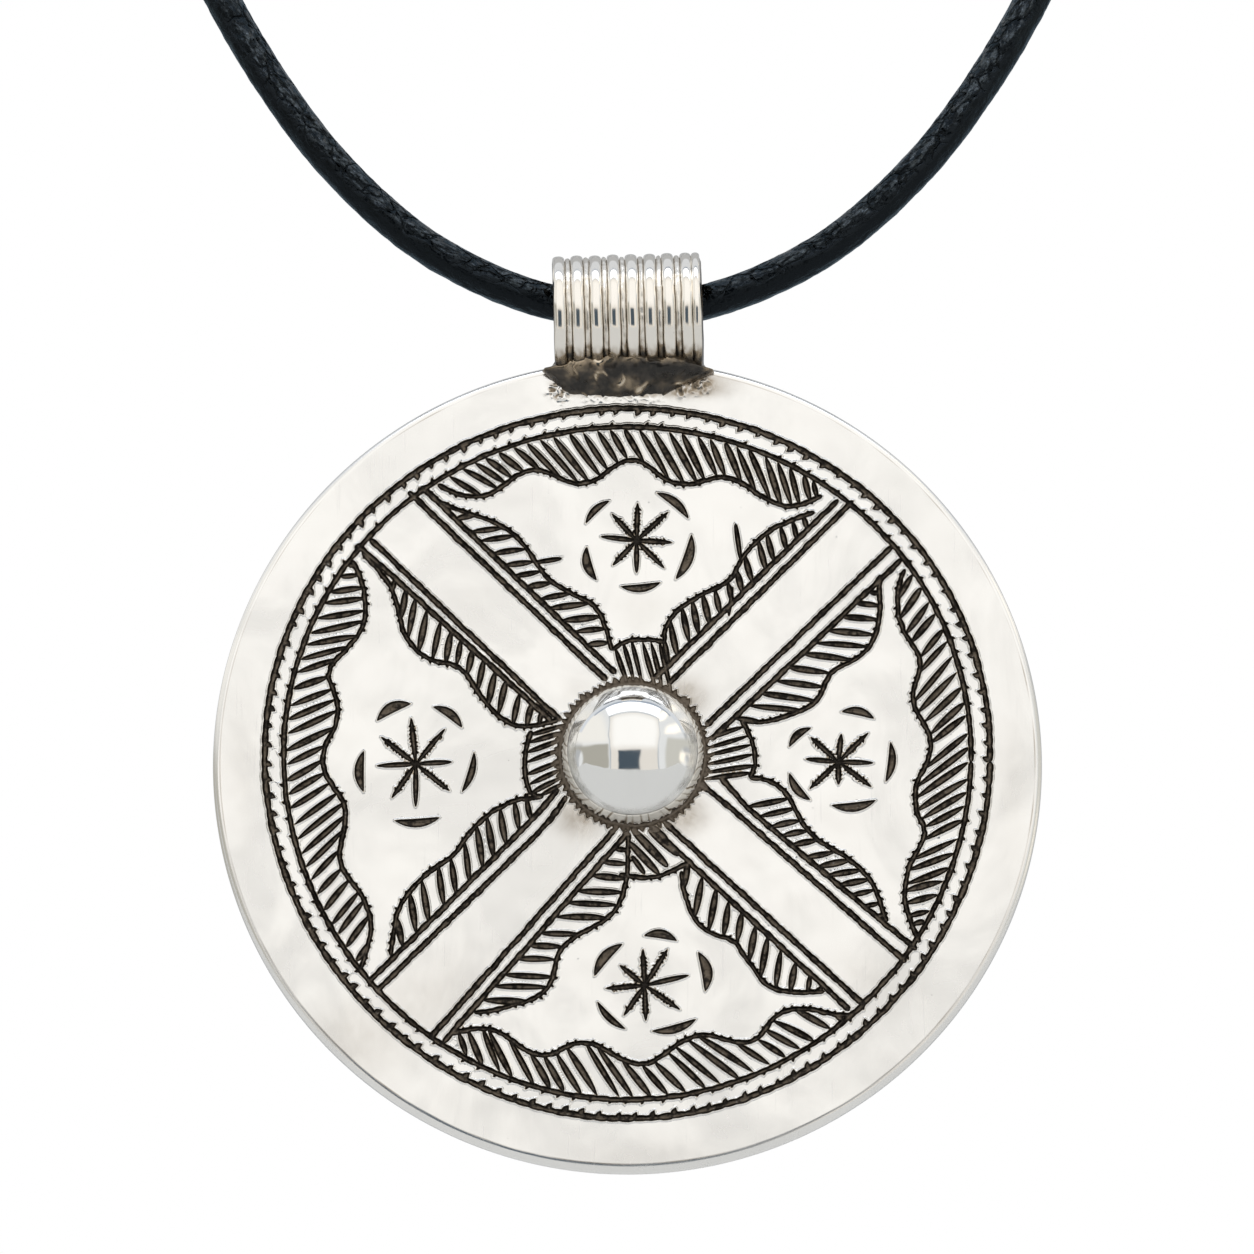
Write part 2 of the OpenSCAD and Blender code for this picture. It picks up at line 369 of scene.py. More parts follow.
VALUE, COLOUR, VECTOR = "NodeSocketFloat", "NodeSocketColor", "NodeSocketVector"
wear_group, wear_in, wear_out = new_group(
    "silver_wear",
    [("Place", VECTOR, None), ("Streaks", VALUE, 0.1), ("Pits", VALUE, 0.5)],
    [("Shade", VALUE), ("Dull", VALUE), ("Height", VALUE)],
)
tree = wear_group
spot = wear_in.outputs["Place"]
cloud = cloudy(stretched(spot, (0, 0.7, 0), (1, 1, 0.7)), 120, Detail=4.0, Roughness=0.55, Distortion=1.2)
streak = soft_step(cloud, 0.36, 0.72)
hair = cloudy(stretched(spot, (0, 0.5, 0), (1, 1, 0.03)), 5200, Detail=2.0)
hair_2 = cloudy(stretched(spot, (0, -0.8, 0), (1, 1, 0.04)), 4300, Detail=2.0)
scratch = math_node("MAXIMUM", soft_step(hair, 0.66, 0.74), soft_step(hair_2, 0.67, 0.75))
cells = texture("ShaderNodeTexVoronoi", spot, 620)
pick = tree.nodes.new("ShaderNodeSeparateColor")
feed(pick.inputs[0], cells.outputs["Color"])
few = soft_step(pick.outputs[0], 0.80, 0.98)
small = soft_step(cells.outputs["Distance"], 0.055, 0.025)
pit = times(times(few, small), wear_in.outputs["Pits"])
shade = minus(1.0, times(streak, wear_in.outputs["Streaks"]))
shade = minus(shade, times(pit, 0.45))
dull = plus(times(scratch, 0.05), times(streak, 0.1))
low = plus(times(pit, 0.3), times(scratch, 0.012))
feed(wear_out.inputs["Shade"], shade)
feed(wear_out.inputs["Dull"], dull)
feed(wear_out.inputs["Height"], minus(1.0, low))

BROWN_TARNISH = (0.33, 0.265, 0.19)
BLACK_TARNISH = (0.05, 0.043, 0.036)
DEEP_TARNISH = (0.02, 0.018, 0.016)
tarnish_group, tarnish_in, tarnish_out = new_group(
    "tarnish",
    [("Place", VECTOR, None), ("Patina", VALUE, 0.0), ("Silver", COLOUR, (0.9, 0.88, 0.85, 1))],
    [("Color", COLOUR), ("Metal", VALUE), ("Dull", VALUE)],
)
tree = tarnish_group
patina = tarnish_in.outputs["Patina"]
soot = cloudy(tarnish_in.outputs["Place"], 1900, Detail=2.0, Roughness=0.5)
soot_shift = tree.nodes.new("ShaderNodeMapRange")
feed(soot_shift.inputs["Value"], soot)
for label, value in (("From Min", 0.3), ("From Max", 0.7), ("To Min", -0.12), ("To Max", 0.1)):
    soot_shift.inputs[label].default_value = value
weight = times(soot_shift.outputs["Result"], soft_step(patina, 0.15, 0.5))
patina = plus(patina, weight)
colour = blend_colour(soft_step(patina, 0.02, 0.5), tarnish_in.outputs["Silver"], BROWN_TARNISH)
colour = blend_colour(soft_step(patina, 0.35, 0.85), colour, BLACK_TARNISH)
colour = blend_colour(soft_step(patina, 0.8, 1.0), colour, DEEP_TARNISH)
feed(tarnish_out.inputs["Color"], colour)
lost = times(soft_step(patina, 0.3, 0.9), 0.7)
feed(tarnish_out.inputs["Metal"], minus(1.0, lost))
dull = times(soft_step(patina, 0.05, 0.8), 0.13)
feed(tarnish_out.inputs["Dull"], dull)


def silver_finish(name, silver, roughness, streaks, pits, relief, metal=1.0):
    material, skin = new_material(name)
    tree = material.node_tree
    place = tree.nodes.new("ShaderNodeTexCoord").outputs["Object"]
    wear = tree.nodes.new("ShaderNodeGroup")
    wear.node_tree = wear_group
    wear.inputs["Streaks"].default_value = streaks
    wear.inputs["Pits"].default_value = pits
    tarnish = tree.nodes.new("ShaderNodeGroup")
    tarnish.node_tree = tarnish_group
    tarnish.inputs["Silver"].default_value = (*silver, 1)
    feed(tarnish.inputs["Patina"], attribute(tree, "patina"))
    for group in (wear, tarnish):
        feed(group.inputs["Place"], place)
    shaded = tree.nodes.new("ShaderNodeMix")
    shaded.data_type = "RGBA"
    shaded.blend_type = "MULTIPLY"
    shaded.inputs["Factor"].default_value = 1.0
    feed(shaded.inputs["A"], tarnish.outputs["Color"])
    feed(shaded.inputs["B"], wear.outputs["Shade"])
    feed(skin["Base Color"], shaded.outputs["Result"])
    feed(skin["Metallic"], times(tarnish.outputs["Metal"], metal))
    dull = plus(tarnish.outputs["Dull"], wear.outputs["Dull"])
    dull = plus(dull, attribute(tree, "matt"))
    feed(skin["Roughness"], plus(dull, roughness))
    feed(skin["Normal"], bump(wear.outputs["Height"], 0.5, relief))
    return material


# The disc is one round silver sheet, filed to a rounded edge, with its ornament cut by hand. Its
# drawing is set out in millimetres from the disc's centre, X right, Y up and Z out of the face.
DISC_R = 28.5
DISC_T = 1.8
EDGE_R = 0.5
DISC_DROP = 31.7
DISC_BACK = 0.08
FACE = DISC_T / 2
OUTER_RING = 24.93
INNER_RING = 23.62
CHASE_DEPTH = 0.2
LINE_HALF = 0.21
BOSS_AT = (0.35, 0.53)
BOSS_RING = 5.03

# The chart was read off the photo: its disc's centre, its pixel as 2.5 mm of cord over 36.25
# pixels, and how far the view from below flattens it, the cosine of LOOK_UP
CHART_CENTRE = (627.8, 761.0)
CHART_PIXEL = 0.068966
CHART_SQUASH = 0.9763
CHART_STEP = 0.12


def on_face(spot):
    return np.array([
        (spot[0] - CHART_CENTRE[0]) * CHART_PIXEL,
        (CHART_CENTRE[1] - spot[1]) * CHART_PIXEL / CHART_SQUASH,
    ])


def curve_through(spots):
    points = [Vector((*on_face(s), 0)) for s in spots]
    return np.array([(p.x, p.y) for p in smooth_points(points, CHART_STEP)])


hand = random.Random(11)
cuts = []


def cut(start, end, half, deep=CHASE_DEPTH, bow=0.0, blunt=0.35, skew=1.0):
    cuts.append((start[0], start[1], end[0], end[1], half, deep, bow, blunt, skew))


def point_along(curve, share):
    lengths = np.concatenate(([0], np.cumsum(np.hypot(*np.diff(curve, axis=0).T))))
    at = share * lengths[-1]
    return np.array([np.interp(at, lengths, curve[:, 0]), np.interp(at, lengths, curve[:, 1])]), lengths[-1]


# A line is walked along with a small chisel, so it is a chain of short cuts that overlap
def walked_line(curve, half=LINE_HALF, stride=0.62, bite=0.95, wobble=0.02):
    total = point_along(curve, 1)[1]
    count = max(2, round(total / stride))
    for i in range(count):
        a = point_along(curve, i / count)[0]
        b = point_along(curve, min(1, i / count + bite / total))[0]
        drift = np.array([hand.gauss(0, wobble), hand.gauss(0, wobble)])
        cut(a + drift, b + drift * 0.4, half * hand.uniform(0.86, 1.12),
            CHASE_DEPTH * hand.uniform(0.9, 1.1), blunt=0.36, skew=hand.uniform(0.8, 1.25))


# Small ticks stand off a line on one side, where nearly each chisel blow ends
BARB_CHANCE = 0.9
BARB_DEPTH = 0.1


def barbs(curve, side, pitch, reach, lean, half):
    total = point_along(curve, 1)[1]
    for i in range(int(total / pitch)):
        if hand.random() > BARB_CHANCE:
            continue
        at = (i + 0.5 + hand.uniform(-0.2, 0.2)) * pitch / total
        a = point_along(curve, at)[0]
        heading = point_along(curve, min(1, at + 0.004))[0] - a
        heading = heading / max(1e-9, np.hypot(*heading))
        out = np.array([-heading[1], heading[0]]) * side
        a = a + out * LINE_HALF * 0.4
        cut(a, a + (out + heading * lean) * reach * hand.uniform(0.6, 1.15),
            half * hand.uniform(0.8, 1.3), BARB_DEPTH, blunt=0.6, skew=0.5)


# Where a stroke from start first meets a curve, with its turn in degrees
def meets(start, turn, curve):
    reach = np.array([math.cos(math.radians(turn)), math.sin(math.radians(turn))])
    a, b = curve[:-1] - start, curve[1:] - start
    side_a = a[:, 0] * reach[1] - a[:, 1] * reach[0]
    side_b = b[:, 0] * reach[1] - b[:, 1] * reach[0]
    best = None
    for i in np.where(side_a * side_b <= 0)[0]:
        share = side_a[i] / (side_a[i] - side_b[i] + 1e-12)
        far = float(np.dot(a[i] + (b[i] - a[i]) * share, reach))
        if far > 0.15 and (best is None or far < best):
            best = far
    return None if best is None else start + reach * best


# Hatching: strokes from a base line until they meet a second line, with their turns along it
START_GAP, END_GAP = 0.12, 0.04
SHORTEST_STROKE, LONGEST_STROKE = 0.45, 4.8


def hatch(base, curve, count, span, turns, half):
    for i in range(count):
        share = i / (count - 1)
        at = span[0] + (span[1] - span[0]) * share + hand.uniform(-0.15, 0.15) * (span[1] - span[0]) / count
        turn = np.interp(share, np.linspace(0, 1, len(turns)), turns) + hand.gauss(0, 1.3)
        start = point_along(base, at)[0]
        end = meets(start, turn, curve)
        if end is None:
            continue
        run = end - start
        size = np.hypot(*run)
        if size < SHORTEST_STROKE or size > LONGEST_STROKE:
            continue
        a = start + run * START_GAP / size
        b = end - run * END_GAP / size
        width = half * hand.uniform(0.9, 1.12) * min(1, 0.72 + size / 8)
        cut(a, b, width, CHASE_DEPTH * hand.uniform(0.9, 1.15), bow=hand.uniform(-0.04, 0.04),
            blunt=hand.uniform(0.5, 0.72), skew=hand.uniform(0.7, 1.15))


# The two border rings were drawn by hand, a little high and wandering in and out three times round
RING_LIFT = 0.21
RING_WANDER = 0.14


def drawn_ring(radius, start, end, points=400):
    turn = np.radians(np.linspace(start, end, points))
    reach = radius + RING_LIFT * np.sin(turn) + RING_WANDER * np.sin(3 * turn)
    return np.stack((reach * np.cos(turn), reach * np.sin(turn)), axis=1)


# Arms of the cross: two chased lines along each side
ARM_LINES = {
    "nw": [
        [(424, 488), (616, 673)], [(411, 493), (607, 680)], [(373, 541), (561, 720)],
        [(360, 546), (552, 720)],
    ],
    "ne": [
        [(837, 501), (655, 678)], [(849, 505), (668, 684)], [(890, 548), (706, 725)],
        [(900, 561), (711, 739)],
    ],
    "sw": [
        [(374, 976), (521, 830), (559, 788)], [(381, 986), (538, 832), (567, 795)],
        [(434, 1032), (615, 828)], [(447, 1036), (629, 830)],
    ],
    "se": [
        [(722, 778), (763, 820), (915, 947)], [(702, 784), (746, 820), (904, 959)],
        [(667, 823), (861, 1000)], [(654, 826), (691, 862), (848, 1006)],
    ],
}
arm = {name: [curve_through(line) for line in lines] for name, lines in ARM_LINES.items()}
for lines in arm.values():
    for line in lines:
        walked_line(np.vstack((2 * line[0] - line[2], line)))

# Wavy lines that bound the hatching of each panel, as they were read. First comes the side that the
# panel's plain middle lies on, as the wave is walked: 1 is its left.
WAVES = {
    "top_outer": (-1, [
        (438, 484), (456, 493), (475, 496), (491, 493), (507, 482), (525, 470), (545, 470), (563, 479),
        (577, 483), (595, 480), (613, 466), (631, 458), (647, 464), (666, 479), (682, 483), (697, 483),
        (713, 477), (727, 476), (745, 484), (766, 498), (782, 505), (799, 505), (823, 495),
    ]),
    "top_left": (1, [
        (427, 491), (447, 505), (474, 514), (491, 520), (509, 530), (525, 545), (536, 562), (549, 579),
        (568, 591), (591, 602), (602, 616), (611, 645), (612, 650),
    ]),
    "top_block": (1, [
        (612, 650), (625, 641), (640, 639), (664, 641),
    ]),
    "top_right": (-1, [
        (815, 512), (799, 517), (775, 527), (759, 539), (743, 557), (731, 579), (709, 591), (691, 600),
        (672, 616), (664, 634), (665, 641),
    ]),
    "left_outer": (1, [
        (352, 560), (361, 577), (365, 593), (366, 612), (362, 630), (346, 650), (330, 667), (329, 676),
        (335, 690), (339, 707), (336, 727), (327, 743), (324, 760), (325, 768), (332, 783), (344, 797),
        (347, 810), (346, 829), (341, 849), (343, 864), (352, 878), (365, 895), (372, 913), (373, 931),
        (367, 953), (364, 965),
    ]),
    "left_upper": (-1, [
        (362, 551), (378, 569), (390, 584), (398, 606), (402, 624), (408, 639), (423, 655), (438, 661),
        (457, 665), (467, 673), (478, 691), (492, 708), (504, 719), (516, 725), (530, 726), (547, 722),
        (559, 719),
    ]),
    "left_lower": (1, [
        (393, 953), (395, 934), (401, 905), (410, 892), (417, 883), (433, 868), (455, 854), (466, 838),
        (483, 818), (503, 805), (523, 797), (538, 797),
    ]),
    "left_block": (-1, [
        (532, 730), (527, 745), (526, 757), (526, 773), (528, 785), (533, 795), (544, 795),
    ]),
    "right_outer": (-1, [
        (906, 569), (900, 581), (898, 600), (899, 619), (907, 636), (916, 649), (921, 661), (918, 675),
        (913, 690), (913, 705), (923, 722), (930, 737), (930, 748), (926, 763), (916, 780), (914, 797),
        (916, 812), (924, 827), (920, 843), (910, 859), (905, 878), (903, 895), (906, 911), (913, 928),
        (918, 940),
    ]),
    "right_upper": (-1, [
        (880, 574), (880, 593), (880, 612), (877, 630), (870, 645), (857, 658), (838, 667), (828, 675),
        (823, 690), (813, 704), (793, 713), (772, 720), (750, 722), (741, 719),
    ]),
    "right_lower": (1, [
        (749, 777), (765, 778), (780, 786), (791, 800), (798, 815), (811, 833), (826, 844), (840, 852),
        (857, 864), (869, 878), (877, 893), (881, 908), (886, 919),
    ]),
    "right_block": (1, [
        (741, 720), (750, 734), (754, 750), (756, 763), (749, 777),
    ]),
    "bottom_outer": (1, [
        (453, 1030), (472, 1025), (488, 1024), (505, 1030), (524, 1044), (541, 1051), (558, 1048),
        (572, 1040), (587, 1038), (604, 1044), (623, 1055), (645, 1060), (664, 1050), (677, 1040),
        (693, 1032), (708, 1031), (727, 1036), (742, 1039), (758, 1034), (767, 1021), (779, 1009),
        (796, 1005), (815, 1006), (830, 1011), (848, 1011),
    ]),
    "bottom_left": (-1, [
        (476, 1009), (497, 1006), (520, 1000), (541, 992), (553, 979), (556, 962), (562, 946), (577, 933),
        (600, 921), (616, 908), (623, 891), (628, 872), (628, 849), (629, 831),
    ]),
    "bottom_right": (1, [
        (681, 870), (685, 893), (691, 910), (700, 923), (716, 933), (733, 937), (742, 950), (754, 967),
        (765, 981), (783, 988), (802, 989), (823, 988),
    ]),
    "bottom_block": (-1, [
        (620, 873), (639, 875), (658, 875), (674, 868), (691, 860),
    ]),
}
wave = {name: curve_through(spots) for name, (_, spots) in WAVES.items()}
for name, (plain_side, _) in WAVES.items():
    walked_line(wave[name], half=0.175, stride=0.6, bite=0.9, wobble=0.024)
    barbs(wave[name], plain_side, 0.6, reach=0.21, lean=0.5, half=0.085)

# Hatching: base line, line it runs to, strokes, span along the base, turns in degrees
ring_edge = {
    "top": drawn_ring(INNER_RING - 0.1, 121.5, 57), "left": drawn_ring(INNER_RING - 0.1, 144.5, 217),
    "right": drawn_ring(INNER_RING - 0.1, 34, -31.5), "bottom": drawn_ring(INNER_RING - 0.1, 242, 309.5),
}
turn = np.radians(np.linspace(0, 360, 400))
boss_edge = np.stack((BOSS_AT[0] + BOSS_RING * np.cos(turn), BOSS_AT[1] + BOSS_RING * np.sin(turn)), axis=1)
HATCH_HALF = 0.225
BOSS_HATCH_HALF = 0.175
for base, line, count, span, turns in [
    (ring_edge["top"], wave["top_outer"], 28, (0, 1), (-30, -38, -52, -60, -62, -68, -74, -78)),
    (ring_edge["left"], wave["left_outer"], 29, (0, 1), (6, 10, 18, 26, 30, 42, 50, 57)),
    (ring_edge["right"], wave["right_outer"], 26, (0, 1), (240, 232, 224, 221, 214, 204, 196, 193)),
    (ring_edge["bottom"], wave["bottom_outer"], 24, (0, 1), (110, 116, 120, 124, 134, 144, 150, 154)),
    (arm["nw"][0], wave["top_left"], 14, (0.17, 0.96), (8, 8)),
    (arm["ne"][0], wave["top_right"], 15, (0.1, 0.93), (104, 100)),
    (arm["nw"][3], wave["left_upper"], 15, (0.12, 0.95), (261, 258)),
    (arm["sw"][0], wave["left_lower"], 13, (0.1, 0.92), (98, 98)),
    (arm["ne"][3], wave["right_upper"], 13, (0.1, 0.94), (-5, -8)),
    (arm["se"][0], wave["right_lower"], 15, (0.97, 0.14), (10, 12)),
    (arm["sw"][3], wave["bottom_left"], 13, (0.12, 0.92), (0, -4)),
    (arm["se"][3], wave["bottom_right"], 12, (0.93, 0.18), (262, 260)),
    (wave["top_block"], boss_edge, 6, (0.1, 0.92), (-74, -78)),
    (wave["left_block"], boss_edge, 8, (0.05, 0.95), (16, 30)),
    (wave["right_block"], boss_edge, 6, (0.12, 0.92), (200, 186)),
]:
    hatch(base, line, count, span, turns, BOSS_HATCH_HALF if line is boss_edge else HATCH_HALF)

# Stray strokes of the chisel, the last four broad ones under the boss: from, to, half width, depth
STRAYS = [
    ((536, 562), (562, 558), 0.17, CHASE_DEPTH), ((736, 523), (741, 559), 0.17, CHASE_DEPTH),
    ((733, 586), (729, 616), 0.12, 0.1), ((649, 828), (679, 854), 0.27, CHASE_DEPTH),
    ((632, 827), (668, 865), 0.3, CHASE_DEPTH), ((629, 840), (659, 872), 0.27, CHASE_DEPTH),
    ((632, 854), (645, 872), 0.19, CHASE_DEPTH),
]
for start, end, half, deep in STRAYS:
    cut(on_face(start), on_face(end), half, deep)

# Stars of eight rays, with the tips as they were read, and the crescents round them
STARS = {
    (637, 540): [
        (638, 502), (669, 511), (673, 542), (665, 568), (637, 573), (613, 565), (601, 536), (612, 513),
    ],
    (417, 763): [
        (412, 717), (446, 728), (453, 761), (451, 790), (417, 806), (393, 797), (378, 765), (382, 736),
    ],
    (838, 761): [
        (841, 733), (868, 732), (873, 762), (871, 786), (838, 784), (809, 788), (805, 758), (810, 736),
    ],
    (645, 982): [
        (643, 946), (668, 946), (689, 972), (680, 1006), (646, 1017), (624, 1012), (606, 985), (620, 962),
    ],
}
for middle, tips in STARS.items():
    heart = on_face(middle)
    for i, tip in enumerate(tips):
        end = on_face(tip)
        cut(heart, end, 0.17 if i % 2 else 0.18, 0.17, blunt=0.62, skew=hand.uniform(0.85, 1.1))
        cut(heart - (end - heart) * 0.04, heart + (end - heart) * 0.4, 0.1, 0.14, blunt=0.4)
        if i % 2 or hand.random() < 0.4:
            ray = np.linspace(heart + (end - heart) * 0.22, heart + (end - heart) * 0.92, 12)
            for side in (1, -1):
                barbs(ray, side, 0.26, reach=0.2, lean=-0.7, half=0.06)

# Crescents: their two tips and the top of the bow
CRESCENTS = [
    [(586, 523), (610, 500), (593, 507)], [(587, 546), (597, 580), (582, 561)],
    [(621, 586), (661, 582), (638, 592)], [(657, 492), (689, 518), (675, 496)],
    [(692, 534), (676, 579), (696, 552)], [(378, 720), (412, 703), (391, 702)],
    [(434, 706), (463, 727), (450, 707)], [(365, 750), (365, 791), (356, 765)],
    [(475, 751), (463, 791), (478, 765)], [(396, 819), (441, 816), (415, 826)],
    [(789, 746), (811, 727), (795, 731)], [(841, 711), (874, 718), (861, 707)],
    [(890, 741), (885, 781), (895, 763)], [(831, 804), (875, 799), (849, 811)],
    [(789, 772), (810, 799), (792, 789)], [(595, 973), (623, 941), (604, 948)],
    [(644, 933), (677, 938), (662, 927)], [(698, 949), (705, 988), (712, 967)],
    [(652, 1027), (696, 1015), (672, 1030)], [(598, 998), (626, 1025), (604, 1013)],
]
for spots in CRESCENTS:
    a, b, crest = (on_face(s) for s in spots)
    run = b - a
    size = np.hypot(*run)
    off = float((crest - a)[1] * run[0] - (crest - a)[0] * run[1]) / size
    half = max(0.19, abs(off) * 0.5)
    cut(a, b, half, 0.21, bow=math.copysign(max(0, abs(off) - half), off), blunt=0.85)

# The rope border: two chased rings, with a row of rounded lobes that a slanting blow parts between
walked_line(drawn_ring(OUTER_RING, 0, 360), half=0.23, stride=0.9, bite=1.25, wobble=0.015)
walked_line(drawn_ring(INNER_RING, 0, 360), half=0.195, stride=0.8, bite=1.15, wobble=0.018)
LOBES = 126
for i in range(LOBES):
    turn = (i + hand.uniform(-0.14, 0.14)) * 360 / LOBES
    out = np.array([math.cos(math.radians(turn)), math.sin(math.radians(turn))])
    side = np.array([-out[1], out[0]])
    root = drawn_ring(OUTER_RING - 0.12, turn, turn, 1)[0]
    size = hand.uniform(0.75, 1.15)
    cut(root + out * 0.05, root - out * 0.42 * size + side * 0.2 * size, 0.21 * size, 0.14, bow=0.03,
        blunt=0.95, skew=0.5)
    foot = drawn_ring(INNER_RING + 0.1, turn - 1.3, turn - 1.3, 1)[0]
    if hand.random() < 0.85:
        cut(foot, foot + out * 0.27 * size - side * 0.16 * size, 0.1, 0.1, blunt=0.8, skew=0.5)

# The serrated ring at the foot of the boss's bezel
walked_line(boss_edge, half=0.19, stride=0.5, bite=0.8, wobble=0.03)
TEETH = 66
for i in range(TEETH):
    turn = (i + hand.uniform(-0.25, 0.25)) * 2 * math.pi / TEETH
    out = np.array([math.cos(turn), math.sin(turn)])
    side = np.array([-out[1], out[0]])
    foot = np.array(BOSS_AT) + out * BOSS_RING
    cut(foot, foot + out * hand.uniform(0.32, 0.56) + side * hand.uniform(-0.08, 0.12),
        hand.uniform(0.15, 0.24), 0.14, blunt=1.0, skew=0.55)

# Splashes and crumbs of solder that ran on to the rim beside the bail: place, width, strength
SPLASHES = [((558, 389), 0.62, 1.0), ((562, 396), 0.4, 0.8), ((700, 384), 0.8, 0.5), ((682, 389), 0.5, 0.5),
            ((640, 398), 1.6, 0.25), ((600, 398), 1.2, 0.22)]
UNCUT = -0.5


# For points on the face: depth of the cuts, distance into the nearest cut and distance to any work
def chased(points):
    order = np.argsort(points[:, 0])
    xs, ys = points[order, 0], points[order, 1]
    depth, inward, gap = np.zeros(len(xs)), np.full(len(xs), UNCUT), np.full(len(xs), 9.0)
    for ax, ay, bx, by, half, deep, bow, blunt, skew in cuts:
        reach = half + abs(bow) + 0.5
        first, last = np.searchsorted(xs, (min(ax, bx) - reach, max(ax, bx) + reach))
        high_enough = ys[first:last] > min(ay, by) - reach
        near = np.arange(first, last)[high_enough & (ys[first:last] < max(ay, by) + reach)]
        if not len(near):
            continue
        size = math.hypot(bx - ax, by - ay)
        ux, uy = (bx - ax) / size, (by - ay) / size
        px, py = xs[near] - ax, ys[near] - ay
        t = (px * ux + py * uy) / size
        held = np.clip(t, 0, 1)
        off = np.abs(py * ux - px * uy - bow * 4 * held * (1 - held))
        beyond = np.abs(t - held) * size
        u = held ** skew
        wide = half * np.maximum(1e-4, 4 * u * (1 - u)) ** blunt
        away = np.hypot(np.maximum(0, off - wide), beyond)
        inside = (off < wide) & (beyond == 0)
        share = np.where(inside, off / wide, 1)
        shape = np.where(inside, (1 - share ** 1.8) * (wide / half), 0)
        depth[near] = np.maximum(depth[near], deep * shape)
        inward[near] = np.maximum(inward[near], np.where(inside, wide - off, -away))
        gap[near] = np.minimum(gap[near], away)
    for middle, wide, _ in SPLASHES:
        centre = on_face(middle)
        gap = np.minimum(gap, np.maximum(0, np.hypot(xs - centre[0], ys - centre[1]) - wide))
    result = np.zeros((3, len(xs)))
    result[:, order] = (depth, inward, gap)
    return result


def clamp(value, low=0.0):
    return max(low, min(1.0, value))


# Spins an outline of points in the X-Z plane once round an axis, into one clean skin
def turned(bm, outline, axis, steps):
    wire = [bm.verts.new((x, 0, z)) for x, z in outline]
    wire_edges = [bm.edges.new(pair) for pair in zip(wire, wire[1:])]
    bmesh.ops.spin(bm, geom=wire + wire_edges, cent=(0, 0, 0), axis=axis, angle=2 * math.pi, steps=steps,
                   use_merge=True)
    bmesh.ops.remove_doubles(bm, verts=bm.verts, dist=1e-5)
    bmesh.ops.recalc_face_normals(bm, faces=bm.faces)


ABOUT_X, ABOUT_Z = (1, 0, 0), (0, 0, 1)
disc_bm = bmesh.new()
patina_layer = disc_bm.verts.layers.float.new("patina")
inward_layer = disc_bm.verts.layers.float.new("cut")
EDGE_MID_R = DISC_R - EDGE_R
profile = [(4.2, FACE), *((r, FACE) for r in np.arange(4.5, 27.9, 0.3)), (27.93, FACE), (EDGE_MID_R, FACE)]
for k in range(1, 8):
    turn = math.pi / 2 - k * math.pi / 14
    profile.append((EDGE_MID_R + EDGE_R * math.cos(turn), FACE - EDGE_R + EDGE_R * math.sin(turn)))
for k in range(0, 7):
    turn = -k * math.pi / 12
    profile.append((EDGE_MID_R + EDGE_R * math.cos(turn), EDGE_R - FACE + EDGE_R * math.sin(turn)))
profile += [(r, -FACE) for r in (27, 25, 22, 18, 13, 8, 4, 1.5, 0.0)]
turned(disc_bm, profile, ABOUT_Z, steps=500)

# The mesh is made finer twice where the chisel went: longest edge that stays, reach round a cut
for longest, near in ((0.2, 0.28), (0.1, 0.15)):
    long_edges = [e for e in disc_bm.edges if e.calc_length() > longest
                  and e.verts[0].co.z > FACE - 1e-4 and e.verts[1].co.z > FACE - 1e-4]
    middles = np.array([((e.verts[0].co + e.verts[1].co) / 2)[:2] for e in long_edges])
    gap = chased(middles)[2]
    bmesh.ops.subdivide_edges(disc_bm, edges=[e for e, g in zip(long_edges, gap) if g < near], cuts=1,
                              use_grid_fill=True, use_single_edge=True)

face_verts = [v for v in disc_bm.verts if v.co.z > FACE - 1e-4]
flat = np.array([v.co[:2] for v in face_verts])
depth, inward, gap = chased(flat)


def soft_spot(middle, wide, tall, strength):
    centre = on_face(middle)
    reach = ((flat[:, 0] - centre[0]) / wide) ** 2 + ((flat[:, 1] - centre[1]) / tall) ** 2
    return strength * np.exp(-reach)


# Soft browner patches: by the bail they are stains; by the boss, on the arms, on the rim's sides and
# over the upper and lower face they are partly tarnish and partly painted shade. Place, half width and
# height, strength
STAINS_AND_SHADE = [
    ((575, 385), 1.6, 0.7, 0.16), ((700, 382), 2.8, 1.1, 0.32), ((630, 392), 4.5, 0.35, 0.25),
    ((577, 690), 1.8, 1.5, 0.11), ((683, 698), 2.0, 1.8, 0.30), ((580, 815), 2.1, 1.9, 0.30),
    ((683, 813), 2.1, 1.9, 0.30), ((450, 990), 5.0, 4.0, 0.13), ((870, 980), 4.5, 3.5, 0.12),
    ((350, 1040), 4.5, 4.0, 0.15), ((640, 1150), 7.0, 1.8, 0.11), ((640, 610), 3.0, 2.5, 0.10),
    ((245, 760), 2.0, 9.0, 0.11), ((1010, 790), 2.0, 9.0, 0.11), ((470, 610), 4.0, 4.0, 0.08),
]
darkening = np.sum([soft_spot(*row) for row in STAINS_AND_SHADE], axis=0)
splash = np.max([soft_spot(middle, wide, min(wide, 0.6), strength) for middle, wide, strength in SPLASHES],
                axis=0)
for vert in disc_bm.verts:
    vert[inward_layer] = UNCUT
